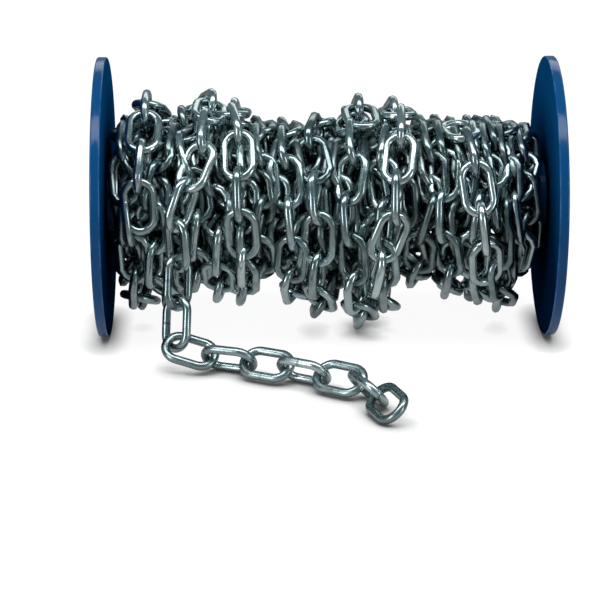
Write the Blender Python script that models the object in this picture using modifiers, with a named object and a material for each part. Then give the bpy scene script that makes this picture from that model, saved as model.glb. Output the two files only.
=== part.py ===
"""Reel of zinc-plated steel chain with its loose end on the floor.

Two blue moulded flanges stand on a core tube. Round-link chain is wound on it in an
uneven layer, a few slack turns lie over that layer, and the last links hang from the
front of the winding and lie in a line on the floor. The hidden inner layers are one
plain ring. Everything is in metres, +Z up, with the reel's axis along X. The front of
the reel, where the chain comes off, faces -Y.

Angles around the reel are in degrees: 0 is the top, 90 the front, 180 the bottom.
"""

import math
import random

import bmesh
import bpy
from mathutils import Matrix, Vector

# Reel
FLANGE_RADIUS = 0.100
FLANGE_THICKNESS = 0.007
FLANGE_WEB = 0.0042
FLANGE_SPACING = 0.311
FLANGE_SIDES = 48
RIM_WIDTH = 0.007
RIM_EDGE = 0.0012
HUB_RADIUS = 0.030
BORE_RADIUS = 0.015
CORE_RADIUS = 0.024
CORE_SIDES = 32
SEAT_GAP = 0.0003
MERGE_DISTANCE = 0.00005

# The axis is so high that the flat at the bottom of each flange lies on the floor
AXIS_HEIGHT = FLANGE_RADIUS * math.cos(math.pi / FLANGE_SIDES)
AXIS_Y = 0.0538

# Chain: welded links of round wire
WIRE_RADIUS = 0.003
LINK_INSIDE_LENGTH = 0.029
LINK_WIDTH = 0.026
JOINT_STEP = 0.0286
LINK_CORNERS = 8
SHARP_ANGLE = 50.0

# A wound link is a square bar with the same steel section as the round wire
WOUND_BAR_RADIUS = WIRE_RADIUS * math.sqrt(math.pi / 2)
WOUND_BAR_SIDES = 4
TAIL_BAR_SIDES = 6

# Hidden inner layers
HIDDEN_RADIUS = 0.0330
HIDDEN_START = -0.148
HIDDEN_END = 0.118
HIDDEN_SIDES = 32

# Outer layer: for each group of turns, the place along the axis of every turn at the
# front of the reel, and its radius at the top, the front, the bottom and the back
LAYER_GROUPS = {
    "wound_chain_left": (
        (-0.1385, 0.0492, 0.053, 0.076, 0.054),
        (-0.1180, 0.052, 0.054, 0.0712, 0.053),
        (-0.0975, 0.053, 0.052, 0.059, 0.054),
        (-0.0770, 0.052, 0.053, 0.065, 0.053),
        (-0.0580, 0.052, 0.054, 0.069, 0.053),
    ),
    "wound_chain_middle": (
        (-0.0300, 0.0476, 0.053, 0.071, 0.052),
        (-0.0070, 0.051, 0.054, 0.077, 0.054),
        (0.0160, 0.056, 0.056, 0.085, 0.055),
        (0.0400, 0.052, 0.055, 0.077, 0.054),
    ),
    "wound_chain_right": (
        (0.0800, 0.0505, 0.053, 0.066, 0.052),
        (0.1000, 0.0500, 0.053, 0.0712, 0.053),
        (0.1190, 0.0494, 0.053, 0.074, 0.053),
        (0.1375, 0.0416, 0.0475, 0.0530, 0.0425),
    ),
}

# Least and greatest place along the axis in each group, so that the groups stay apart
GROUP_REACH = {
    "wound_chain_left": (-0.1395, -0.0592),
    "wound_chain_middle": (-0.0288, 0.0508),
    "wound_chain_right": (0.0812, 0.1395),
}
BOTTOM_ADVANCE = 0.35
LAYER_WANDER = 0.0045
LAYER_LIFT = 0.0015
LAYER_LEAN = 20.0
ROLL_SPREAD = 16.0
JOINT_STRAY = 0.004

# Slack turns over the outer layer: the turn of the first link, which fades along the
# run, and the route points as angle, place along the axis and radius
SLACK_TURNS = {
    "wound_chain_left": (
        (-52, (
            (114.6, -0.104, 0.0724), (98, -0.107, 0.068), (76, -0.100, 0.066), (54, -0.090, 0.065),
            (32, -0.083, 0.065), (10, -0.080, 0.066), (-15, -0.084, 0.066), (-40, -0.090, 0.062),
            (-70, -0.098, 0.055),
        )),
        (0, (
            (95, -0.130, 0.060), (75, -0.132, 0.062), (40, -0.129, 0.063), (5, -0.127, 0.066),
            (-30, -0.122, 0.064), (-65, -0.118, 0.055),
        )),
        (0, (
            (-75, -0.062, 0.055), (-40, -0.063, 0.059), (-5, -0.067, 0.062), (25, -0.066, 0.063),
            (55, -0.061, 0.063), (85, -0.059, 0.063), (115, -0.058, 0.062), (145, -0.060, 0.061),
        )),
    ),
    "wound_chain_middle": (
        (0, (
            (-70, 0.036, 0.055), (-40, 0.044, 0.059), (-12, 0.0490, 0.0615), (15, 0.052, 0.063),
            (40, 0.052, 0.064), (57, 0.051, 0.064), (80, 0.046, 0.064), (105, 0.039, 0.067),
            (130, 0.033, 0.073), (155, 0.027, 0.080),
        )),
        (0, (
            (-62, 0.018, 0.056), (-38, 0.021, 0.060), (-12, 0.023, 0.0625), (12, 0.025, 0.0615),
            (34, 0.028, 0.058),
        )),
    ),
    "wound_chain_right": (
        (0, (
            (5, 0.090, 0.053), (30, 0.096, 0.060), (54, 0.1005, 0.065), (76, 0.104, 0.066),
            (98, 0.108, 0.067), (120, 0.113, 0.068), (145, 0.118, 0.0715),
        )),
    ),
}
SLACK_TURN_FADE = 4

# Fineness of the walk along a route, in the route's own units
WALK_STEP = 0.002

# Loose end: route points as x, distance in front of the axis, height above the floor.
# The hanging part's last joint and the floor part's first lie a little apart, because
# the sharp bend between them needs room for both wires.
HANGING_ROUTE = (
    (-0.1040, 0.0652, 0.0710),
    (-0.1050, 0.0755, 0.0435),
    (-0.1060, 0.0860, 0.0165),
)
HANGING_LEANS = (-46, 44)
FLOOR_ROUTE = (
    (-0.1095, 0.0890, 0.0178),
    (-0.0830, 0.0950, 0.0112),
    (-0.0575, 0.1045, 0.0112),
    (-0.0325, 0.1175, 0.0112),
    (-0.0085, 0.1320, 0.0112),
    (0.0158, 0.1473, 0.0112),
    (0.0286, 0.1722, 0.0112),
    (0.0385, 0.1980, 0.0100),
    (0.0440, 0.2120, 0.0090),
)
FLOOR_LEANS = (34, -54, 38, -52, 40, -50, 42)

COLOURS = {
    "flange_blue": ((0.006, 0.075, 0.23, 1.0), 0.32, 0.0),
    "zinc": ((0.55, 0.58, 0.58, 1.0), 0.28, 1.0),
}

RANDOM = random.Random(7)


def clear_scene():
    for thing in list(bpy.data.objects):
        bpy.data.objects.remove(thing, do_unlink=True)


def new_collection(name):
    collection = bpy.data.collections.new(name)
    bpy.context.scene.collection.children.link(collection)
    return collection


def make_material(name):
    colour, roughness, metallic = COLOURS[name]
    material = bpy.data.materials.new(name)
    material.use_nodes = True
    shader = material.node_tree.nodes["Principled BSDF"]
    shader.inputs["Base Color"].default_value = colour
    shader.inputs["Roughness"].default_value = roughness
    shader.inputs["Metallic"].default_value = metallic
    return material


def add_object(name, mesh, collection, material=None):
    """Link a new object, and give its mesh the material once."""
    thing = bpy.data.objects.new(name, mesh)
    collection.objects.link(thing)
    if material and not mesh.materials:
        mesh.materials.append(material)
    return thing


def turned(name, outline, sides, collection, material):
    """Turn a closed outline of (radius, height) points about the Z axis."""
    mesh = bpy.data.meshes.new(name)
    edges = [(i, (i + 1) % len(outline)) for i in range(len(outline))]
    mesh.from_pydata([(radius, 0.0, height) for radius, height in outline], edges, [])
    thing = add_object(name, mesh, collection, material)
    screw = thing.modifiers.new("turn", "SCREW")
    screw.axis = "Z"
    screw.steps = sides
    screw.render_steps = sides
    screw.use_merge_vertices = True
    screw.merge_threshold = MERGE_DISTANCE
    screw.use_smooth_shade = False
    return thing


def lay_on_axis(thing, x, sides, facing=1):
    """Turn the object's Z axis to +X or -X, with one of its flats at the bottom."""
    lay = Matrix.Rotation(math.radians(90 * facing), 4, "Y")
    half_side = Matrix.Rotation(math.pi / sides, 4, "Z")
    thing.matrix_world = Matrix.Translation((x, AXIS_Y, AXIS_HEIGHT)) @ lay @ half_side


def flange_outline():
    """Outer side from top to bottom, then the inner face, the bore and the recess."""
    radius = FLANGE_RADIUS
    top = FLANGE_THICKNESS
    edge = RIM_EDGE
    soft = edge * (1 - math.cos(math.pi / 4))
    return [
        (radius - edge, top),
        (radius - soft, top - soft),
        (radius, top - edge),
        (radius, edge),
        (radius - soft, soft),
        (radius - edge, 0.0),
        (BORE_RADIUS, 0.0),
        (BORE_RADIUS, top),
        (HUB_RADIUS, top),
        (HUB_RADIUS, FLANGE_WEB),
        (radius - RIM_WIDTH, FLANGE_WEB),
        (radius - RIM_WIDTH, top),
    ]


def make_flanges(collection, material):
    for name, side in (("flange_left", -1), ("flange_right", 1)):
        flange = turned(name, flange_outline(), FLANGE_SIDES, collection, material)
        lay_on_axis(flange, side * FLANGE_SPACING / 2, FLANGE_SIDES, facing=side)


def tube_outline(inner, outer, length):
    half = length / 2
    return [(outer, half), (outer, -half), (inner, -half), (inner, half)]


def make_core(collection, blue, steel):
    length = FLANGE_SPACING - 2 * SEAT_GAP
    core = turned("core_tube", tube_outline(BORE_RADIUS, CORE_RADIUS, length), CORE_SIDES, collection, blue)
    lay_on_axis(core, 0.0, CORE_SIDES)
    outline = tube_outline(CORE_RADIUS + SEAT_GAP, HIDDEN_RADIUS, HIDDEN_END - HIDDEN_START)
    hidden = turned("hidden_windings", outline, HIDDEN_SIDES, collection, steel)
    lay_on_axis(hidden, (HIDDEN_START + HIDDEN_END) / 2, HIDDEN_SIDES)


def make_link_mesh(name, bar_radius, bar_sides, material):
    """Draw a torus apart along X into a link whose ends have flats of the true radius."""
    bend = (LINK_WIDTH / 2 - WIRE_RADIUS) / math.cos(math.pi / LINK_CORNERS)
    bpy.ops.mesh.primitive_torus_add(
        major_segments=LINK_CORNERS, minor_segments=bar_sides, major_radius=bend, minor_radius=bar_radius
    )
    torus = bpy.context.active_object
    mesh = torus.data
    mesh.name = name
    bpy.data.objects.remove(torus)
    mesh.transform(Matrix.Rotation(math.pi / LINK_CORNERS, 4, "Z"))
    draw = LINK_INSIDE_LENGTH / 2 + WIRE_RADIUS - (LINK_WIDTH / 2 - WIRE_RADIUS)
    for vertex in mesh.vertices:
        vertex.co.x += math.copysign(draw, vertex.co.x)
    mesh.shade_smooth()
    mesh.set_sharp_from_angle(angle=math.radians(SHARP_ANGLE))
    mesh.materials.append(material)
    return mesh


def through(values, t):
    """Smooth curve through evenly spaced values, with values[k] at t = k."""
    last = len(values) - 1
    t = min(max(t, 0.0), last)
    k = min(int(t), last - 1)
    u = t - k
    before = values[max(k - 1, 0)]
    start = values[k]
    end = values[k + 1]
    after = values[min(k + 2, last)]
    pull_start = (end - before) / 2
    pull_end = (after - start) / 2
    rise = end - start
    swell = 3 * rise - 2 * pull_start - pull_end
    settle = pull_start + pull_end - 2 * rise
    return start + u * (pull_start + u * (swell + u * settle))


def around_axis(angle, x, radius):
    turn = math.radians(angle)
    return Vector((x, AXIS_Y - radius * math.sin(turn), AXIS_HEIGHT + radius * math.cos(turn)))


def layer_route(turns, reach):
    """A helix that starts and ends at the back, as a function of quarter turns."""
    places = []
    radii = []
    for number, (x, *four_radii) in enumerate(turns):
        following = turns[min(number + 1, len(turns) - 1)][0]
        back, top, front, bottom = four_radii[3], four_radii[0], four_radii[1], four_radii[2]
        for radius in (back, top, front, bottom):
            radii.append(radius + RANDOM.uniform(-LAYER_LIFT, LAYER_LIFT))
        for share in (0.0, 0.0, 0.0, BOTTOM_ADVANCE):
            place = x + share * (following - x) + RANDOM.uniform(-LAYER_WANDER, LAYER_WANDER)
            places.append(min(max(place, reach[0]), reach[1]))
    radii.append(radii[-4])
    places.append(places[-1])

    def route(t):
        return around_axis(90 * t - 90, through(places, t), through(radii, t))

    return route, len(radii) - 1


def slack_route(points):
    angles, places, radii = zip(*points)

    def route(t):
        return around_axis(through(angles, t), through(places, t), through(radii, t))

    return route, len(points) - 1


def loose_route(places):
    points = [Vector((x, AXIS_Y - front, height)) for x, front, height in places]

    def route(t):
        return through(points, t)

    return route, len(points) - 1


def walk(route, length):
    """Joints of the chain: points on the route that lie one link's step apart."""
    joints = [route(0.0)]
    t = 0.0
    while t < length:
        t += WALK_STEP
        if (route(t) - joints[-1]).length >= JOINT_STEP:
            joints.append(route(t))
    return joints


def link_place(start, end, outward, roll):
    """A link from joint to joint. With no roll its open side faces outward."""
    along = (end - start).normalized()
    normal = (outward - outward.dot(along) * along).normalized()
    normal = Matrix.Rotation(math.radians(roll), 3, along) @ normal
    across = normal.cross(along)
    turn = Matrix((along, across, normal)).transposed().to_4x4()
    return Matrix.Translation((start + end) / 2) @ turn


def wound_places(route, length, reach, lean, first_turn):
    """Links along a wound route, turned by a quarter from each to the next.

    Each joint strays a little along the axis, so that the links slant.
    """
    joints = walk(route, length)
    for joint in joints[SLACK_TURN_FADE:]:
        stray = RANDOM.uniform(-JOINT_STRAY, JOINT_STRAY)
        joint.x = min(max(joint.x + stray, reach[0]), reach[1])
    places = []
    for number, (start, end) in enumerate(zip(joints, joints[1:])):
        middle = (start + end) / 2
        outward = Vector((0.0, middle.y - AXIS_Y, middle.z - AXIS_HEIGHT))
        fade = max(0.0, 1 - number / SLACK_TURN_FADE)
        roll = 90 * (number % 2) + lean + first_turn * fade
        if not fade:
            roll += RANDOM.uniform(-ROLL_SPREAD, ROLL_SPREAD)
        places.append(link_place(start, end, outward, roll))
    return places


def links_object(name, link_mesh, places, collection):
    """One mesh that holds a copy of the link at every place."""
    joined = bmesh.new()
    for place in places:
        copy = link_mesh.copy()
        copy.transform(place)
        joined.from_mesh(copy)
        bpy.data.meshes.remove(copy)
    mesh = bpy.data.meshes.new(name)
    joined.to_mesh(mesh)
    joined.free()
    mesh.materials.append(link_mesh.materials[0])
    return add_object(name, mesh, collection)


def make_wound_chain(collection, cutters, link_mesh):
    """Each group of turns is one solid: its links are fused where they hook together."""
    for name, turns in LAYER_GROUPS.items():
        reach = GROUP_REACH[name]
        runs = [(layer_route(turns, reach), LAYER_LEAN, 0.0)]
        runs += [(slack_route(points), 0.0, first_turn) for first_turn, points in SLACK_TURNS[name]]
        even = []
        odd = []
        for (route, length), lean, first_turn in runs:
            places = wound_places(route, length, reach, lean, first_turn)
            even += places[0::2]
            odd += places[1::2]
        chain = links_object(name, link_mesh, even, collection)
        others = links_object(name + "_odd_links", link_mesh, odd, cutters)
        others.hide_render = True
        others.display_type = "WIRE"
        fuse = chain.modifiers.new("hook together", "BOOLEAN")
        fuse.operation = "UNION"
        fuse.solver = "EXACT"
        fuse.use_self = True
        fuse.object = others


def make_tail(collection, link_mesh):
    """Links that hang from the winding, and links that lean on the floor by turns."""
    front = Vector((0.0, -1.0, 0.0))
    up = Vector((0.0, 0.0, 1.0))
    number = 0
    for places, leans, outward in ((HANGING_ROUTE, HANGING_LEANS, front), (FLOOR_ROUTE, FLOOR_LEANS, up)):
        joints = walk(*loose_route(places))
        for start, end, lean in zip(joints, joints[1:], leans):
            number += 1
            link = add_object("tail_link_%d" % number, link_mesh, collection)
            link.matrix_world = link_place(start, end, outward, lean)


def main():
    clear_scene()
    parts = new_collection("reel_of_steel_chain")
    cutters = new_collection("cutters")
    blue = make_material("flange_blue")
    zinc = make_material("zinc")
    make_flanges(parts, blue)
    make_core(parts, blue, zinc)
    wound_link = make_link_mesh("wound_link", WOUND_BAR_RADIUS, WOUND_BAR_SIDES, zinc)
    tail_bar_radius = WIRE_RADIUS / math.cos(math.pi / LINK_CORNERS)
    tail_link = make_link_mesh("tail_link", tail_bar_radius, TAIL_BAR_SIDES, zinc)
    make_wound_chain(parts, cutters, wound_link)
    make_tail(parts, tail_link)


main()
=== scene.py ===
# %% [markdown]
# # A reel of steel chain
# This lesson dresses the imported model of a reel: two blue moulded flanges with
# zinc-plated chain wound between them, and the chain's loose end on the floor in front.
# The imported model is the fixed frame. Everything made here sits in the same metres and
# the same places, so nothing has to be fitted afterwards.

# %% Load the frame
import math
import random

import bpy
from mathutils import Matrix, Vector


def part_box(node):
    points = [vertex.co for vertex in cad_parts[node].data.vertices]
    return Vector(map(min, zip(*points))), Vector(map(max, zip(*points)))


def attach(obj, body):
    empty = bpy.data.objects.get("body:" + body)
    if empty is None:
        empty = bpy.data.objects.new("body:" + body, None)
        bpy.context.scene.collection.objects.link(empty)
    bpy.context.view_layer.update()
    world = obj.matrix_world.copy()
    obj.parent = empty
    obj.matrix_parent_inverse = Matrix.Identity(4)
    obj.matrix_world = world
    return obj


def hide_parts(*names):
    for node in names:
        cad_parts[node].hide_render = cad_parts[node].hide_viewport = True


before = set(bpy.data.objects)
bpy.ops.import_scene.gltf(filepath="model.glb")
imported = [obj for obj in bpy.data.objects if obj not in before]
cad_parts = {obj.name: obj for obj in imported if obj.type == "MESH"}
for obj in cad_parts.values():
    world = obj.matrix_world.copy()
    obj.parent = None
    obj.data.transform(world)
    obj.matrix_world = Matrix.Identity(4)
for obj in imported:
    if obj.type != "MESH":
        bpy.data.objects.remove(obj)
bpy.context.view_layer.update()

print("nodes in the frame:", len(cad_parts))

# %% [markdown]
# ## Measures
# The reel's measures are read from the frame: the flanges give the axis, the radius and
# the two inner faces. The chain's own measures are those of a welded chain of 6 mm wire.

# %% Measures of the reel and of the chain
left_low, left_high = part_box("flange_left")
right_low, right_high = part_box("flange_right")
FLANGE_RADIUS = (left_high.y - left_low.y) / 2
FLANGE_THICKNESS = left_high.x - left_low.x
AXIS_Y = (left_high.y + left_low.y) / 2
AXIS_HEIGHT = (left_high.z + left_low.z) / 2
REEL_CENTRE = Vector((0.0, AXIS_Y, AXIS_HEIGHT))

WIRE_RADIUS = 0.003
LINK_INSIDE_LENGTH = 0.029
LINK_WIDTH = 0.026
JOINT_STEP = 0.0286
BEND_RADIUS = LINK_WIDTH / 2 - WIRE_RADIUS
print("flange radius %.1f mm, axis %.1f mm up" % (FLANGE_RADIUS * 1000, AXIS_HEIGHT * 1000))

# %% [markdown]
# ## The camera
# The photograph looks down on the reel by 15 degrees, a touch from the left, through a
# long lens. The reel's centre sits above the middle of the picture, with the empty floor
# below it, so the camera is pointed a little below that centre.

# %% Camera
PHOTO_PIXELS = 600
PHOTO_REEL_CENTRE = (325.9, 196.3)
CAMERA_DISTANCE = 1.75
CAMERA_LENS = 146.5
CAMERA_SENSOR = 36.0
CAMERA_REACH = 20.0
LOOK_DOWN = math.radians(15.0)
LOOK_ASIDE = math.radians(1.5)

towards_camera = Vector((
    -math.sin(LOOK_ASIDE) * math.cos(LOOK_DOWN),
    -math.cos(LOOK_ASIDE) * math.cos(LOOK_DOWN),
    math.sin(LOOK_DOWN),
))
camera_right = Vector((math.cos(LOOK_ASIDE), -math.sin(LOOK_ASIDE), 0.0))
camera_up = towards_camera.cross(camera_right)
metres_per_pixel = CAMERA_DISTANCE * CAMERA_SENSOR / CAMERA_LENS / PHOTO_PIXELS
pixels_right = PHOTO_PIXELS / 2 - PHOTO_REEL_CENTRE[0]
pixels_down = PHOTO_PIXELS / 2 - PHOTO_REEL_CENTRE[1]
aim = REEL_CENTRE + (camera_right * pixels_right - camera_up * pixels_down) * metres_per_pixel

bpy.ops.object.camera_add(location=REEL_CENTRE + towards_camera * CAMERA_DISTANCE)
camera = bpy.context.active_object
camera.name = "photo_camera"
camera.rotation_euler = (aim - camera.location).to_track_quat("-Z", "Y").to_euler()
camera.data.lens = CAMERA_LENS
camera.data.sensor_width = CAMERA_SENSOR
camera.data.clip_end = CAMERA_REACH
bpy.context.scene.camera = camera
print("camera at", tuple(round(c, 3) for c in camera.location))

# %% [markdown]
# ## Helpers for modelling
# Operators work on all that is selected, and the frame's nodes are selected when they
# are loaded. So these helpers select one thing at a time, and leave each finished piece
# with its place in its mesh.

# %% Selecting
def select_only(*things):
    """Select these things and nothing else, with the first one active."""
    if bpy.context.mode != "OBJECT":
        bpy.ops.object.mode_set(mode="OBJECT")
    bpy.ops.object.select_all(action="DESELECT")
    for thing in things:
        thing.select_set(True)
    bpy.context.view_layer.objects.active = things[0]


def edit_faces(piece, wanted):
    """Enter edit mode with the faces for which wanted(face) is true selected."""
    select_only(piece)
    mesh = piece.data
    bpy.ops.object.mode_set(mode="EDIT")
    bpy.ops.mesh.select_mode(type="FACE")
    bpy.ops.mesh.select_all(action="DESELECT")
    bpy.ops.object.mode_set(mode="OBJECT")
    for face in mesh.polygons:
        face.select = bool(wanted(face))
    bpy.ops.object.mode_set(mode="EDIT")


def edit_points(piece, wanted):
    """Enter edit mode with the points for which wanted(point) is true selected."""
    select_only(piece)
    bpy.ops.object.mode_set(mode="EDIT")
    bpy.ops.mesh.select_mode(type="VERT")
    bpy.ops.mesh.select_all(action="DESELECT")
    bpy.ops.object.mode_set(mode="OBJECT")
    for point in piece.data.vertices:
        point.select = bool(wanted(point))
    bpy.ops.object.mode_set(mode="EDIT")


def leave_edit():
    """Back to object mode, where the mesh is up to date."""
    bpy.ops.object.mode_set(mode="OBJECT")

# %% Finishing
def settle(piece):
    """Put the object's place, turn and scale into its mesh."""
    select_only(piece)
    bpy.ops.object.transform_apply(location=True, rotation=True, scale=True)


def apply_all(piece):
    """Apply the modifiers, so that what they shape is in the mesh."""
    select_only(piece)
    for modifier in list(piece.modifiers):
        bpy.ops.object.modifier_apply(modifier=modifier.name)


def finish_piece(piece, slot, material, *nodes):
    """Hand the piece over to the reel's body, in place of the nodes it stands for."""
    piece.data.materials.clear()
    piece.data.materials.append(material)
    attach(piece, "root")
    if nodes:
        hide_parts(*nodes)
    triangles = sum(len(face.vertices) - 2 for face in piece.data.polygons)
    print("%s: %d triangles" % (piece.name, triangles))

# %% [markdown]
# ## Shader helpers
# The finishes are built from noise on the object's own coordinates, so they stay on the
# piece from every side. These helpers keep the node graphs short.

# %% Shader helpers
BUMP_STRENGTH = 0.25


def new_finish(name):
    """A new material, with its node tree and its shader."""
    finish = bpy.data.materials.new(name)
    finish.use_nodes = True
    return finish, finish.node_tree, finish.node_tree.nodes["Principled BSDF"]


def noise(tree, source, scale, detail, roughness=0.5):
    """Cloudy values around a half, in finer clouds the higher the scale."""
    node = tree.nodes.new("ShaderNodeTexNoise")
    node.inputs["Scale"].default_value = scale
    node.inputs["Detail"].default_value = detail
    node.inputs["Roughness"].default_value = roughness
    tree.links.new(source, node.inputs["Vector"])
    return node.outputs["Fac"]


def remap(tree, source, low, high, new_low, new_high):
    """The values from low to high, spread from new_low to new_high."""
    node = tree.nodes.new("ShaderNodeMapRange")
    node.inputs["From Min"].default_value = low
    node.inputs["From Max"].default_value = high
    node.inputs["To Min"].default_value = new_low
    node.inputs["To Max"].default_value = new_high
    tree.links.new(source, node.inputs["Value"])
    return node.outputs["Result"]


def blend_colours(tree, factor, first, second):
    """The first colour where the factor is nothing, and the second where it is one."""
    node = tree.nodes.new("ShaderNodeMix")
    node.data_type = "RGBA"
    tree.links.new(factor, node.inputs[0])
    for socket, colour in ((node.inputs[6], first), (node.inputs[7], second)):
        if isinstance(colour, tuple):
            socket.default_value = colour
        else:
            tree.links.new(colour, socket)
    return node.outputs[2]


def bump(tree, height, depth):
    """Small dents that catch the light and leave the shape alone."""
    node = tree.nodes.new("ShaderNodeBump")
    node.inputs["Strength"].default_value = BUMP_STRENGTH
    node.inputs["Distance"].default_value = depth
    tree.links.new(height, node.inputs["Height"])
    return node.outputs["Normal"]

# %% [markdown]
# ## Bright zinc
# Bright zinc plating is a thin metal skin over drawn steel wire. It shines, but every
# link has tumbled against the others, so its gloss is uneven, with faint dull patches
# and tiny dents. Each link also carries a tone of its own in an attribute, because no
# two links leave the bath quite alike. The slack turns on top have the brightest tones,
# and the outer turns under them are greyer. The turns underneath are rougher and darker
# still, and their darkness is painted shade, for the little light that reaches them. The
# links on the floor are lighter than the outer turns, as painted light. The links near the
# camera also show their weld, a narrow ring in the middle of one straight side, where the
# map around the loop says so. A noise is given by its scale and detail, some also by a
# roughness, and a range says which of its values are spread.

# %% Zinc colours
ZINC_LIGHT = (0.42, 0.52, 0.535, 1.0)
ZINC_DARK = (0.15, 0.20, 0.21, 1.0)
SLACK_LIGHT = (0.58, 0.68, 0.69, 1.0)
SLACK_DARK = (0.32, 0.39, 0.40, 1.0)
# The inner colours are painted shade: a darker copy of the zinc for turns little light reaches.
INNER_PAINTED_SHADE_LIGHT = (0.31, 0.39, 0.40, 1.0)
INNER_PAINTED_SHADE_DARK = (0.13, 0.17, 0.175, 1.0)
# The loose colours are painted light: a lighter copy of the zinc for the links on the floor.
LOOSE_PAINTED_LIT_LIGHT = (0.54, 0.645, 0.655, 1.0)
LOOSE_PAINTED_LIT_DARK = (0.27, 0.34, 0.35, 1.0)
print("zinc from", INNER_PAINTED_SHADE_DARK[:3], "to", SLACK_LIGHT[:3])

# %% Zinc finish
WELD_HALF_WIDTH = 0.0016
ZINC_PATCHES = (90.0, 3.0)
ZINC_PATCH_RANGE = (0.35, 0.65)
ZINC_PATCH_TONE = 0.25
ZINC_GRIT = (170.0, 2.0)
ZINC_GRIT_RANGE = (0.3, 0.7)
ZINC_DENTS = (150.0, 1.0)
ZINC_DENT_DEPTH = 0.0006


def weld_ring(tree, weld_at):
    """One at the weld and nothing beside it, from the map around the loop."""
    split = tree.nodes.new("ShaderNodeSeparateXYZ")
    tree.links.new(tree.nodes.new("ShaderNodeTexCoord").outputs["UV"], split.inputs[0])
    away = tree.nodes.new("ShaderNodeMath")
    away.operation = "COMPARE"
    away.inputs[1].default_value = weld_at
    away.inputs[2].default_value = WELD_HALF_WIDTH
    tree.links.new(split.outputs["X"], away.inputs[0])
    return away.outputs[0]


def zinc_finish(name, light, dark, roughness, weld_at=None):
    """Zinc between two tones, rough between two values, with a weld if it has a place."""
    finish, tree, shader = new_finish(name)
    place = tree.nodes.new("ShaderNodeTexCoord").outputs["Object"]
    tone = tree.nodes.new("ShaderNodeAttribute")
    tone.attribute_name = "link_tone"
    patches = noise(tree, place, *ZINC_PATCHES)
    patches = remap(tree, patches, *ZINC_PATCH_RANGE, -ZINC_PATCH_TONE, ZINC_PATCH_TONE)
    add = tree.nodes.new("ShaderNodeMath")
    add.operation = "ADD"
    add.use_clamp = True
    tree.links.new(tone.outputs["Fac"], add.inputs[0])
    tree.links.new(patches, add.inputs[1])
    colour = blend_colours(tree, add.outputs[0], dark, light)
    if weld_at:
        colour = blend_colours(tree, weld_ring(tree, weld_at), colour, dark)
    tree.links.new(colour, shader.inputs["Base Color"])
    shader.inputs["Metallic"].default_value = 1.0
    grit = noise(tree, place, *ZINC_GRIT)
    tree.links.new(remap(tree, grit, *ZINC_GRIT_RANGE, *roughness), shader.inputs["Roughness"])
    dents = noise(tree, place, *ZINC_DENTS)
    tree.links.new(bump(tree, dents, ZINC_DENT_DEPTH), shader.inputs["Normal"])
    return finish

# %% Zinc on each kind of link
def straight_middle(corners):
    """Where the map around a torus of so many corners has the middle of a straight side."""
    return 0.25 - 0.5 / corners


INNER_CORNERS = 12
PLAIN_CORNERS = 12
SLACK_CORNERS = 20
FINE_CORNERS = 32
ZINC_ROUGHNESS = (0.15, 0.30)
SLACK_ROUGHNESS = (0.15, 0.28)
LOOSE_ROUGHNESS = (0.20, 0.34)
INNER_ROUGHNESS = (0.20, 0.38)
slack_weld = straight_middle(SLACK_CORNERS)
fine_weld = straight_middle(FINE_CORNERS)
zinc = zinc_finish("bright_zinc", ZINC_LIGHT, ZINC_DARK, ZINC_ROUGHNESS)
slack_zinc = zinc_finish("slack_zinc", SLACK_LIGHT, SLACK_DARK, SLACK_ROUGHNESS, slack_weld)
hanging_zinc = zinc_finish("hanging_zinc", ZINC_LIGHT, ZINC_DARK, ZINC_ROUGHNESS, fine_weld)
# Painted light: the links on the floor get a lighter copy of the zinc.
loose_painted_light_zinc = zinc_finish("loose_painted_light_zinc", LOOSE_PAINTED_LIT_LIGHT, LOOSE_PAINTED_LIT_DARK, LOOSE_ROUGHNESS, fine_weld)
# Painted shade: the turns underneath get a darker copy of the zinc.
inner_painted_shade_zinc = zinc_finish("inner_painted_shade_zinc", INNER_PAINTED_SHADE_LIGHT, INNER_PAINTED_SHADE_DARK, INNER_ROUGHNESS)
print("welds at %.3f and %.3f of the way around" % (slack_weld, fine_weld))

# %% [markdown]
# ## Blue moulded plastic
# The flanges are injection moulded. The skin has a soft gloss, a faint orange peel from
# the mould, and a little scuffing that dulls the gloss in patches. A reel is rolled and
# stacked on its rims, so their rounded edges are rubbed a little paler. Only there does
# the surface face half sideways, and that is how the finish finds the edges. The inner
# faces are a finish of their own, a little darker and without gloss. The winding shades
# them, and painted shade makes them darkest around and below the axle.

# %% Blue colours
BLUE = (0.0010, 0.060, 0.195, 1.0)
BLUE_WORN = (0.0020, 0.074, 0.230, 1.0)
BLUE_RUBBED = (0.0300, 0.150, 0.360, 1.0)
BLUE_INSIDE = (0.0018, 0.058, 0.185, 1.0)
BLUE_INSIDE_WORN = (0.0028, 0.074, 0.225, 1.0)
# The last colour is painted shade, for where the winding shades the inner faces.
BLUE_PAINTED_SHADE = (0.0007, 0.0105, 0.0360, 1.0)
print("blue from", BLUE_PAINTED_SHADE[:3], "to", BLUE_RUBBED[:3])

# %% Rubbed edges
EDGE_TILT = 0.55
EDGE_TILT_SPAN = 0.35
RUBS = (60.0, 5.0, 0.7)
RUB_RANGE = (0.42, 0.62)
RUBBED_MOST = 0.8


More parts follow.
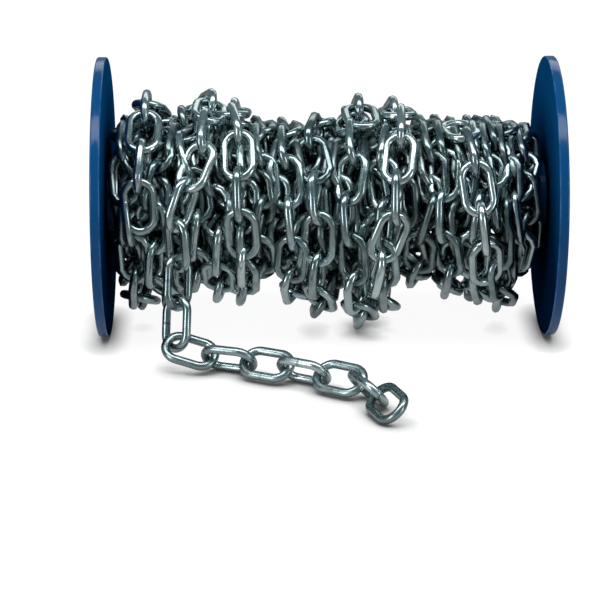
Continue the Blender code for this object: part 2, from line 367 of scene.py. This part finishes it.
def rubbed_edges(tree, place):
    """Patches of rubbing where the surface faces between sideways and outwards."""
    split = tree.nodes.new("ShaderNodeSeparateXYZ")
    tree.links.new(tree.nodes.new("ShaderNodeNewGeometry").outputs["Normal"], split.inputs[0])
    sideways = tree.nodes.new("ShaderNodeMath")
    sideways.operation = "ABSOLUTE"
    tree.links.new(split.outputs["X"], sideways.inputs[0])
    edge = tree.nodes.new("ShaderNodeMath")
    edge.operation = "COMPARE"
    edge.inputs[1].default_value = EDGE_TILT
    edge.inputs[2].default_value = EDGE_TILT_SPAN
    tree.links.new(sideways.outputs[0], edge.inputs[0])
    rubs = remap(tree, noise(tree, place, *RUBS), *RUB_RANGE, 0.0, RUBBED_MOST)
    rubbed = tree.nodes.new("ShaderNodeMath")
    rubbed.operation = "MULTIPLY"
    tree.links.new(edge.outputs[0], rubbed.inputs[0])
    tree.links.new(rubs, rubbed.inputs[1])
    return rubbed.outputs[0]

# %% Painted shade on the inner faces
# Where the painted shade lies: full near and below the axle, gone towards the top.
PAINTED_SHADE_BELOW_AXIS = 0.070
PAINTED_SHADE_FULL = 0.085
PAINTED_SHADE_GONE = 0.150


def painted_shade_from_chain(tree, place):
    """Painted shade: one around and below the axle, where the winding shades the face, and nothing
    at the top.
    """
    centred = tree.nodes.new("ShaderNodeMapping")
    centred.inputs["Location"].default_value = (0.0, -AXIS_Y, PAINTED_SHADE_BELOW_AXIS - AXIS_HEIGHT)
    centred.inputs["Scale"].default_value = (0.0, 1.0, 1.0)
    tree.links.new(place, centred.inputs["Vector"])
    distance = tree.nodes.new("ShaderNodeVectorMath")
    distance.operation = "LENGTH"
    tree.links.new(centred.outputs["Vector"], distance.inputs[0])
    return remap(tree, distance.outputs["Value"], PAINTED_SHADE_FULL, PAINTED_SHADE_GONE, 1.0, 0.0)

# %% Blue plastic finish
CLOUDS = (14.0, 4.0)
CLOUD_RANGE = (0.3, 0.7)
SCUFFS = (55.0, 6.0, 0.7)
SCUFF_RANGE = (0.35, 0.7)
ORANGE_PEEL = (700.0, 2.0)
ORANGE_PEEL_DEPTH = 0.0002
BLUE_ROUGHNESS = (0.11, 0.20)
BLUE_SHINE = 0.30
INSIDE_ROUGHNESS = (0.60, 0.75)
INSIDE_SHINE = 0.0


def blue_finish(name, plain, worn, roughness, shine, with_painted_shade=False):
    """Blue between two tones, rough between two values, with rubbed edges, and painted shade if
    asked.
    """
    finish, tree, shader = new_finish(name)
    place = tree.nodes.new("ShaderNodeTexCoord").outputs["Object"]
    clouds = remap(tree, noise(tree, place, *CLOUDS), *CLOUD_RANGE, 0.0, 1.0)
    colour = blend_colours(tree, clouds, plain, worn)
    colour = blend_colours(tree, rubbed_edges(tree, place), colour, BLUE_RUBBED)
    if with_painted_shade:
        # Painted shade around and below the axle, where the winding shades the inner face.
        colour = blend_colours(tree, painted_shade_from_chain(tree, place), colour, BLUE_PAINTED_SHADE)
    tree.links.new(colour, shader.inputs["Base Color"])
    scuffs = noise(tree, place, *SCUFFS)
    tree.links.new(remap(tree, scuffs, *SCUFF_RANGE, *roughness), shader.inputs["Roughness"])
    peel = noise(tree, place, *ORANGE_PEEL)
    tree.links.new(bump(tree, peel, ORANGE_PEEL_DEPTH), shader.inputs["Normal"])
    shader.inputs["Specular IOR Level"].default_value = shine
    return finish


blue = blue_finish("blue_moulding", BLUE, BLUE_WORN, BLUE_ROUGHNESS, BLUE_SHINE)
# The inner faces carry painted shade from the winding.
blue_inside = blue_finish(
    "blue_inner_face", BLUE_INSIDE, BLUE_INSIDE_WORN, INSIDE_ROUGHNESS, INSIDE_SHINE, with_painted_shade=True,
)
print("blue finishes:", blue.name, "and", blue_inside.name)

# %% [markdown]
# ## The flanges
# Each flange is one disc with a raised rim, a web that is set back on the outer side, and
# a boss around the axle bore. It starts as a cylinder. The outer cap is inset and pushed
# in for the web, inset again and pulled out for the boss, and the middles of both caps
# are bridged into the bore. A bevel rounds the edges that a hand would touch.

# %% Measures of a flange
RIM_WIDTH = 0.007
WEB_THICKNESS = 0.0042
WEB_DEPTH = FLANGE_THICKNESS - WEB_THICKNESS
HUB_RADIUS = 0.030
BORE_RADIUS = 0.015
RIM_EDGE = 0.0012
RIM_EDGE_STEPS = 3
FLANGE_CORNERS = 192
SIDEWAYS = 0.9
SHARP_EDGE = math.radians(40)
SMOOTH_UP_TO = math.radians(35)
print("the web is set back by %.1f mm" % (WEB_DEPTH * 1000))

# %% Flanges
def make_flange(name, inner_x, side, node):
    """One flange, with its web and boss on the side that points outwards."""
    middle = inner_x + side * FLANGE_THICKNESS / 2
    bpy.ops.mesh.primitive_cylinder_add(
        vertices=FLANGE_CORNERS, radius=FLANGE_RADIUS, depth=FLANGE_THICKNESS,
        end_fill_type="NGON", location=(middle, AXIS_Y, AXIS_HEIGHT),
        rotation=(0, math.radians(90), 0),
    )
    flange = bpy.context.active_object
    flange.name = name
    settle(flange)
    edit_faces(flange, lambda face: face.normal.x * side > SIDEWAYS)
    bpy.ops.mesh.inset(thickness=RIM_WIDTH)
    bpy.ops.mesh.extrude_region_move(TRANSFORM_OT_translate={"value": (-side * WEB_DEPTH, 0, 0)})
    bpy.ops.mesh.inset(thickness=FLANGE_RADIUS - RIM_WIDTH - HUB_RADIUS)
    bpy.ops.mesh.extrude_region_move(TRANSFORM_OT_translate={"value": (side * WEB_DEPTH, 0, 0)})
    bpy.ops.mesh.inset(thickness=HUB_RADIUS - BORE_RADIUS)
    leave_edit()
    edit_faces(flange, lambda face: face.normal.x * side < -SIDEWAYS)
    bpy.ops.mesh.inset(thickness=FLANGE_RADIUS - BORE_RADIUS)
    leave_edit()
    edit_faces(flange, lambda face: len(face.vertices) == FLANGE_CORNERS)
    bpy.ops.mesh.bridge_edge_loops()
    leave_edit()
    round_edges = flange.modifiers.new("round edges", "BEVEL")
    round_edges.width = RIM_EDGE
    round_edges.segments = RIM_EDGE_STEPS
    round_edges.limit_method = "ANGLE"
    round_edges.angle_limit = SHARP_EDGE
    apply_all(flange)
    bpy.ops.object.shade_smooth_by_angle(angle=SMOOTH_UP_TO)
    finish_piece(flange, "flange_blue", blue, node)
    flange.data.materials.append(blue_inside)
    for face in flange.data.polygons:
        if face.normal.x * side < -SIDEWAYS:
            face.material_index = 1


make_flange("left_flange", left_high.x, -1, "flange_left")
make_flange("right_flange", right_low.x, 1, "flange_right")

# %% [markdown]
# ## The core tube
# The chain hides the tube between the flanges almost everywhere, and it shows mostly in
# the axle bore. The frame's own tube is right as it is, so it stays and turns blue.

# %% Core tube
core_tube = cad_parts["core_tube"]
core_tube.data.materials.clear()
core_tube.data.materials.append(blue)
print("core tube: %.0f mm long" % (core_tube.dimensions.x * 1000))

# %% [markdown]
# ## One link
# A link is a closed loop of round wire with straight sides. It starts as a torus whose
# two halves are drawn apart, which stretches only the faces between them. The torus
# brings a UV map that runs once around the loop, so the weld has a place on it.
# The link that is copied hundreds of times, deep in the winding, keeps to a few dozen
# faces. Rounder ones serve for the outer turns and the slack turns on top, and the
# roundest for the loose end.

# %% Link meshes
INNER_WIRE_SIDES = 5
WIRE_SIDES = 8
FINE_WIRE_SIDES = 12


def model_link(name, corners, wire_sides):
    """The wire's corners stand out as far as its flats stand in, so its width is true."""
    wire_corner = 2 * WIRE_RADIUS / (1 + math.cos(math.pi / wire_sides))
    bpy.ops.mesh.primitive_torus_add(
        major_segments=corners, minor_segments=wire_sides,
        major_radius=BEND_RADIUS / math.cos(math.pi / corners),
        minor_radius=wire_corner, rotation=(0, 0, math.pi / corners),
    )
    link = bpy.context.active_object
    link.name = name
    settle(link)
    draw = LINK_INSIDE_LENGTH / 2 + WIRE_RADIUS - BEND_RADIUS
    for side in (-1, 1):
        edit_points(link, lambda point: point.co.x * side > 0)
        bpy.ops.transform.translate(value=(side * draw, 0, 0))
        leave_edit()
    bpy.ops.object.shade_smooth()
    size = link.dimensions * 1000
    print("%s: %d faces, %.1f by %.1f mm" % (name, len(link.data.polygons), size.x, size.y))
    return link


inner_link = model_link("inner_link", INNER_CORNERS, INNER_WIRE_SIDES)
plain_link = model_link("plain_link", PLAIN_CORNERS, WIRE_SIDES)
slack_link = model_link("slack_link", SLACK_CORNERS, WIRE_SIDES)
fine_link = model_link("fine_link", FINE_CORNERS, FINE_WIRE_SIDES)

# %% [markdown]
# ## Routes
# The winding is drawn as a chain would be laid: a route around the reel, walked in steps
# of one link, with every link turned a quarter from the last. An outer turn has a place
# along the axis and four radii, at the top, the front, the bottom and the back. A slack
# turn is a run of points, each with an angle, a place along the axis and a radius, after
# the turn of its first link. Angles are in degrees: 0 is the top, 90 the front. Small
# seeded shifts keep the turns from looking machined.

# %% The outer turns' routes
LAYER_GROUPS = {
    "wound_chain_left": (
        (-0.1385, 0.0492, 0.053, 0.076, 0.054),
        (-0.1180, 0.052, 0.054, 0.0712, 0.053),
        (-0.0975, 0.053, 0.052, 0.059, 0.054),
        (-0.0770, 0.052, 0.053, 0.065, 0.053),
        (-0.0580, 0.052, 0.054, 0.069, 0.053),
    ),
    "wound_chain_middle": (
        (-0.0300, 0.0476, 0.053, 0.071, 0.052),
        (-0.0070, 0.051, 0.054, 0.077, 0.054),
        (0.0160, 0.056, 0.056, 0.085, 0.055),
        (0.0400, 0.052, 0.055, 0.077, 0.054),
    ),
    "wound_chain_right": (
        (0.0800, 0.0505, 0.053, 0.066, 0.052),
        (0.1000, 0.0500, 0.053, 0.0712, 0.053),
        (0.1190, 0.0494, 0.053, 0.074, 0.053),
        (0.1375, 0.0416, 0.0475, 0.0530, 0.0425),
    ),
}
GROUP_REACH = {
    "wound_chain_left": (-0.1395, -0.0592),
    "wound_chain_middle": (-0.0288, 0.0508),
    "wound_chain_right": (0.0812, 0.1395),
}
print("outer turns:", sum(len(turns) for turns in LAYER_GROUPS.values()))

# %% The slack turns' routes
SLACK_TURNS = {
    "wound_chain_left": (
        (-52, (
            (114.6, -0.104, 0.0724), (98, -0.107, 0.068), (76, -0.100, 0.066), (54, -0.090, 0.065),
            (32, -0.083, 0.065), (10, -0.080, 0.066), (-15, -0.084, 0.066), (-40, -0.090, 0.062),
            (-70, -0.098, 0.055),
        )),
        (0, (
            (95, -0.130, 0.060), (75, -0.132, 0.062), (40, -0.129, 0.063), (5, -0.127, 0.066),
            (-30, -0.122, 0.064), (-65, -0.118, 0.055),
        )),
        (0, (
            (-75, -0.062, 0.055), (-40, -0.063, 0.059), (-5, -0.067, 0.062), (25, -0.066, 0.063),
            (55, -0.061, 0.063), (85, -0.059, 0.063), (115, -0.058, 0.062), (145, -0.060, 0.061),
        )),
    ),
    "wound_chain_middle": (
        (0, (
            (-70, 0.036, 0.055), (-40, 0.044, 0.059), (-12, 0.0490, 0.0615), (15, 0.052, 0.063),
            (40, 0.052, 0.064), (57, 0.051, 0.064), (80, 0.046, 0.064), (105, 0.039, 0.067),
            (130, 0.033, 0.073), (155, 0.027, 0.080),
        )),
        (0, (
            (-62, 0.018, 0.056), (-38, 0.021, 0.060), (-12, 0.023, 0.0625), (12, 0.025, 0.0615),
            (34, 0.028, 0.058),
        )),
    ),
    "wound_chain_right": (
        (0, (
            (5, 0.090, 0.053), (30, 0.096, 0.060), (54, 0.1005, 0.065), (76, 0.104, 0.066),
            (98, 0.108, 0.067), (120, 0.113, 0.068), (145, 0.118, 0.0715),
        )),
    ),
}
print("slack turns:", sum(len(turns) for turns in SLACK_TURNS.values()))

# %% Smooth curves
def through(values, t):
    """Smooth curve through evenly spaced values, with values[k] at t = k."""
    last = len(values) - 1
    t = min(max(t, 0.0), last)
    k = min(int(t), last - 1)
    u = t - k
    before = values[max(k - 1, 0)]
    start = values[k]
    end = values[k + 1]
    after = values[min(k + 2, last)]
    pull_start = (end - before) / 2
    pull_end = (after - start) / 2
    rise = end - start
    swell = 3 * rise - 2 * pull_start - pull_end
    settle_down = pull_start + pull_end - 2 * rise
    return start + u * (pull_start + u * (swell + u * settle_down))


def around_axis(angle, x, radius):
    """The point at this angle, place along the axis and distance from it."""
    turn = math.radians(angle)
    return Vector((x, AXIS_Y - radius * math.sin(turn), AXIS_HEIGHT + radius * math.cos(turn)))

# %% Routes
BOTTOM_ADVANCE = 0.35
LAYER_WANDER = 0.0045
LAYER_LIFT = 0.0015
QUARTER = 90
QUARTERS_A_TURN = 4
SHIFTS_SEED = 7
RANDOM = random.Random(SHIFTS_SEED)


def layer_route(turns, reach):
    """A route and its length, a quarter of a turn at a time, from the back over the top."""
    places = []
    radii = []
    for number, (x, top, front, bottom, back) in enumerate(turns):
        following = turns[min(number + 1, len(turns) - 1)][0]
        for radius in (back, top, front, bottom):
            radii.append(radius + RANDOM.uniform(-LAYER_LIFT, LAYER_LIFT))
        for share in (0.0, 0.0, 0.0, BOTTOM_ADVANCE):
            place = x + share * (following - x) + RANDOM.uniform(-LAYER_WANDER, LAYER_WANDER)
            places.append(min(max(place, reach[0]), reach[1]))
    # The route ends at the back, as far out as its last turn began.
    radii.append(radii[-QUARTERS_A_TURN])
    places.append(places[-1])

    def route(t):
        return around_axis(QUARTER * t - QUARTER, through(places, t), through(radii, t))

    return route, len(radii) - 1


def slack_route(points):
    """A route and its length, one point at a time."""
    angles, places, radii = zip(*points)

    def route(t):
        return around_axis(through(angles, t), through(places, t), through(radii, t))

    return route, len(points) - 1

# %% [markdown]
# ## Walking the chain along a route
# Each step finds the next point one link's step away. After the first few, which lie as
# they are drawn, the joints of a wound run stray a little along the axis, so that the
# links slant. A link's place is built from its two joints and the direction that its open
# side faces.

# %% Walking
WALK_STEP = 0.002


def walk(route, length):
    """The joints of the chain along the route."""
    joints = [route(0.0)]
    t = 0.0
    while t < length:
        t += WALK_STEP
        if (route(t) - joints[-1]).length >= JOINT_STEP:
            joints.append(route(t))
    return joints


def link_place(start, end, outward, roll):
    """Where a link lies between two joints, rolled from the side that faces outward."""
    along = (end - start).normalized()
    normal = (outward - outward.dot(along) * along).normalized()
    normal = Matrix.Rotation(math.radians(roll), 3, along) @ normal
    across = normal.cross(along)
    turn = Matrix((along, across, normal)).transposed().to_4x4()
    return Matrix.Translation((start + end) / 2) @ turn

# %% Links along a wound route
JOINT_STRAY = 0.004
ROLL_SPREAD = 16.0
CALM_START = 4


def wound_places(route, length, reach, lean, first_turn=0.0):
    """Links along a wound route, turned by a quarter from each to the next."""
    joints = walk(route, length)
    for joint in joints[CALM_START:]:
        stray = RANDOM.uniform(-JOINT_STRAY, JOINT_STRAY)
        joint.x = min(max(joint.x + stray, reach[0]), reach[1])
    places = []
    for number, (start, end) in enumerate(zip(joints, joints[1:])):
        middle = (start + end) / 2
        outward = Vector((0.0, middle.y - AXIS_Y, middle.z - AXIS_HEIGHT))
        fade = max(0.0, 1 - number / CALM_START)
        roll = QUARTER * (number % 2) + lean + first_turn * fade
        if not fade:
            roll += RANDOM.uniform(-ROLL_SPREAD, ROLL_SPREAD)
        places.append(link_place(start, end, outward, roll))
    return places

# %% Copies of a link
def hang_links(name, pattern, places, tones):
    """Copies of the pattern link at every place, joined into one piece."""
    copies = []
    for place in places:
        copy = pattern.copy()
        copy.data = pattern.data.copy()
        copy.matrix_world = place
        bpy.context.collection.objects.link(copy)
        tone = copy.data.attributes.new("link_tone", "FLOAT", "POINT")
        tone.data.foreach_set("value", [tones.random()] * len(copy.data.vertices))
        copies.append(copy)
    select_only(*copies)
    if len(copies) > 1:
        bpy.ops.object.join()
    piece = bpy.context.active_object
    piece.name = name
    settle(piece)
    return piece

# %% [markdown]
# ## The outer turns
# Three groups of turns stand in the same places as the three solids of the frame. The
# slack turns that lie over them are what the eye sees first, so they are a piece of their
# own with the rounder link.

# %% Outer turns
LAYER_LEAN = 20.0
TONES_SEED = 21
tones = random.Random(TONES_SEED)
for node, turns in LAYER_GROUPS.items():
    reach = GROUP_REACH[node]
    places = wound_places(*layer_route(turns, reach), reach, LAYER_LEAN)
    slack_places = []
    for first_turn, points in SLACK_TURNS[node]:
        slack_places += wound_places(*slack_route(points), reach, lean=0.0, first_turn=first_turn)
    outer = hang_links(node.replace("wound_chain", "outer_turns"), plain_link, places, tones)
    finish_piece(outer, "zinc", zinc, node)
    slack = hang_links(node.replace("wound_chain", "slack_turns"), slack_link, slack_places, tones)
    finish_piece(slack, "zinc", slack_zinc)
    print("links in", outer.name, len(places), "and over them", len(slack_places))

# %% [markdown]
# ## The turns underneath
# Under the outer turns lie two more layers. Their links lean by about half a quarter
# either way, which is how chain settles when more chain lies on it, and the turns of one
# layer sit between those of the next. Little light reaches them, so their zinc is rougher
# and painted darker, as painted shade, and they fill the gaps with shadow. More turns lie
# between those layers and the outer turns, where daylight would show through, and against
# the left flange. Where the outer turns sag below the middle of the reel, a few turns sag
# inside them. A layer is given by its number of turns, its first and last place along the
# axis, its radius and its lean.

# %% Measures of the turns underneath
UNDER_LAYERS = (
    (14, -0.1435, 0.1435, 0.0370, 45.0),
    (14, -0.1360, 0.1360, 0.0450, 40.0),
)
UNDER_REACH = (-0.1415, 0.1415)
BETWEEN_TURNS = (-0.1415, -0.1080, -0.0670, -0.0440, 0.0660, 0.0900, 0.1100, 0.1290)
BETWEEN_RADIUS = 0.0495
BETWEEN_SAG = 0.006
SAGGING_TURNS = (-0.0180, 0.0040, 0.0270)
SAGGING_RADIUS = 0.045
SAG = 0.017
print("turns between the layers:", len(BETWEEN_TURNS) + len(SAGGING_TURNS))

# %% Turns underneath
def turn_underneath(x, radius, sag, lean):
    """The links of one turn, round but for its sag at the bottom."""
    turn = (x, radius, radius, radius + sag, radius)
    return wound_places(*layer_route((turn,), UNDER_REACH), UNDER_REACH, lean)


under_places = []
for count, first, last, radius, lean in UNDER_LAYERS:
    for number in range(count):
        x = first + (last - first) * number / (count - 1)
        under_places += turn_underneath(x, radius, 0.0, lean)
for x in BETWEEN_TURNS:
    under_places += turn_underneath(x, BETWEEN_RADIUS, BETWEEN_SAG, LAYER_LEAN)
for x in SAGGING_TURNS:
    under_places += turn_underneath(x, SAGGING_RADIUS, SAG, LAYER_LEAN)
under_turns = hang_links("inner_turns", inner_link, under_places, tones)
# Their darker zinc is painted shade.
finish_piece(under_turns, "zinc", inner_painted_shade_zinc, "hidden_windings")
print("links in the turns underneath:", len(under_places))

# %% [markdown]
# ## The loose end
# Two links hang from the front of the winding, and seven lie on the floor, leaning left
# and right by turns. They lie close to the camera, so they are the finest link, one piece
# each, and they stand exactly where the frame has them. Their routes are points along the
# axis, in front of it and above the floor, and their leans are in degrees.

# %% The loose end's routes
HANGING_ROUTE = (
    (-0.1040, 0.0652, 0.0710),
    (-0.1050, 0.0755, 0.0435),
    (-0.1060, 0.0860, 0.0165),
)
HANGING_LEANS = (-46, 44)
FLOOR_ROUTE = (
    (-0.1095, 0.0890, 0.0178),
    (-0.0830, 0.0950, 0.0112),
    (-0.0575, 0.1045, 0.0112),
    (-0.0325, 0.1175, 0.0112),
    (-0.0085, 0.1320, 0.0112),
    (0.0158, 0.1473, 0.0112),
    (0.0286, 0.1722, 0.0112),
    (0.0385, 0.1980, 0.0100),
    (0.0440, 0.2120, 0.0090),
)
FLOOR_LEANS = (34, -54, 38, -52, 40, -50, 42)
print("loose links:", len(HANGING_LEANS), "hanging and", len(FLOOR_LEANS), "on the floor")

# %% Loose end
def loose_route(places):
    """A route and its length, one point at a time."""
    points = [Vector((x, AXIS_Y - front, height)) for x, front, height in places]

    def route(t):
        return through(points, t)

    return route, len(points) - 1


number = 0
to_front = Vector((0.0, -1.0, 0.0))
upwards = Vector((0.0, 0.0, 1.0))
# The floor links' lighter zinc is painted light.
LOOSE_RUNS = (
    (HANGING_ROUTE, HANGING_LEANS, to_front, hanging_zinc),
    (FLOOR_ROUTE, FLOOR_LEANS, upwards, loose_painted_light_zinc),
)
for points, leans, outward, finish in LOOSE_RUNS:
    joints = walk(*loose_route(points))
    for start, end, lean in zip(joints, joints[1:], leans):
        number += 1
        place = link_place(start, end, outward, lean)
        link = hang_links("loose_link_%d" % number, fine_link, [place], tones)
        finish_piece(link, "zinc", finish, "tail_link_%d" % number)

for pattern in (inner_link, plain_link, slack_link, fine_link):
    bpy.data.objects.remove(pattern)

# %% [markdown]
# ## Floor, light and colour
# The reel stands on a plain pale floor. One broad soft light hangs above the front and
# draws the patch of gloss on the rims. Two small ones stand low at either side and draw
# the long highlights along the links, and one behind lights the top of the winding. Each
# is given by its place, its target, its width and height, and its watts.
# Metal shows what it reflects, so in the links the room is dim and cool, although the
# room behind the reel is pale. The floor's glow on the reel is weaker than to the eye,
# and it fades with distance, so the undersides of the links keep their shape. Close
# under whatever touches it the floor glows less, which draws a tight soft shadow there.

# %% Floor
FLOOR_SIZE = 40.0
FLOOR_GREY = (0.20, 0.20, 0.20, 1.0)
FLOOR_ROUGHNESS = 0.9
WHITE = (1.0, 1.0, 1.0, 1.0)
bpy.ops.mesh.primitive_plane_add(size=FLOOR_SIZE)
floor = bpy.context.active_object
floor.name = "floor"
floor_finish, floor_tree, floor_shader = new_finish("pale_floor")
floor_shader.inputs["Base Color"].default_value = FLOOR_GREY
floor_shader.inputs["Emission Color"].default_value = WHITE
floor_shader.inputs["Roughness"].default_value = FLOOR_ROUGHNESS
floor_shader.inputs["Specular IOR Level"].default_value = 0.0
floor.data.materials.append(floor_finish)
print("floor: %.0f m square" % FLOOR_SIZE)

# %% The floor's glow
FLOOR_GLOW = 0.92
NEAR_REEL = 0.08
FAR_OFF = 0.30
GLOW_NEAR_REEL = 0.46
GLOW_FAR_OFF = 0.13
distance = floor_tree.nodes.new("ShaderNodeVectorMath")
distance.operation = "LENGTH"
floor_place = floor_tree.nodes.new("ShaderNodeTexCoord").outputs["Object"]
floor_tree.links.new(floor_place, distance.inputs[0])
away = distance.outputs["Value"]
glow_on_reel = remap(floor_tree, away, NEAR_REEL, FAR_OFF, GLOW_NEAR_REEL, GLOW_FAR_OFF)
seen_straight = floor_tree.nodes.new("ShaderNodeLightPath").outputs["Is Camera Ray"]
floor_glow = remap(floor_tree, seen_straight, 0.0, 1.0, 0.0, FLOOR_GLOW)
floor_tree.links.new(glow_on_reel, floor_glow.node.inputs["To Min"])

# %% The soft shadow on the floor
SHADOW_REACH = 0.017
SHADOW_SAMPLES = 16
SHADOW_DEEPEST = 0.45
SHADOW_GLOW = 0.04
openness = floor_tree.nodes.new("ShaderNodeAmbientOcclusion")
openness.samples = SHADOW_SAMPLES
openness.inputs["Distance"].default_value = SHADOW_REACH
shade = remap(floor_tree, openness.outputs["AO"], SHADOW_DEEPEST, 1.0, SHADOW_GLOW, 1.0)
shaded_glow = floor_tree.nodes.new("ShaderNodeMath")
shaded_glow.operation = "MULTIPLY"
floor_tree.links.new(floor_glow, shaded_glow.inputs[0])
floor_tree.links.new(shade, shaded_glow.inputs[1])
floor_tree.links.new(shaded_glow.outputs[0], floor_shader.inputs["Emission Strength"])
print("the shadow reaches %.0f mm" % (SHADOW_REACH * 1000))

# %% Lights
STUDIO_LIGHTS = (
    ("overhead", (0.0, -0.385, 1.3), (0.0, 0.0, 0.0), 2.2, 0.46, 16.0),
    ("left_fill", (-1.1, -1.0, 0.38), (0.0, 0.0, 0.05), 0.45, 0.8, 5.6),
    ("right_fill", (1.2, -1.1, 0.33), (0.0, 0.0, 0.05), 0.40, 0.8, 4.2),
    ("back_fill", (0.2, 1.4, 0.95), (0.0, 0.05, 0.10), 1.6, 0.6, 4.0),
)


def soft_light(name, place, target, width, height, watts):
    """A soft light at its place that shines on its target."""
    bpy.ops.object.light_add(type="AREA", location=place)
    light = bpy.context.active_object
    light.name = name
    light.data.shape = "RECTANGLE"
    light.data.size = width
    light.data.size_y = height
    light.data.energy = watts
    light.rotation_euler = (Vector(target) - Vector(place)).to_track_quat("-Z", "Y").to_euler()
    print("%s: %.1f W" % (name, watts))


for light_measures in STUDIO_LIGHTS:
    soft_light(*light_measures)

# %% Room and colour
ROOM_ON_PLASTIC = (0.12, 0.13, 0.14, 1.0)
ROOM_IN_METAL = (0.160, 0.218, 0.234, 1.0)
ROOM_BEHIND = (0.92, 0.92, 0.92, 1.0)
world = bpy.data.worlds.new("dim_room")
bpy.context.scene.world = world
world.use_nodes = True
room_tree = world.node_tree
room = room_tree.nodes["Background"]
room.inputs["Strength"].default_value = 1.0
ray = room_tree.nodes.new("ShaderNodeLightPath")
room_colour = blend_colours(room_tree, ray.outputs["Is Glossy Ray"], ROOM_ON_PLASTIC, ROOM_IN_METAL)
room_colour = blend_colours(room_tree, ray.outputs["Is Camera Ray"], room_colour, ROOM_BEHIND)
room_tree.links.new(room_colour, room.inputs["Color"])

view = bpy.context.scene.view_settings
view.view_transform = "Standard"
view.look = "None"
view.exposure = 0.0
print("view transform:", view.view_transform)
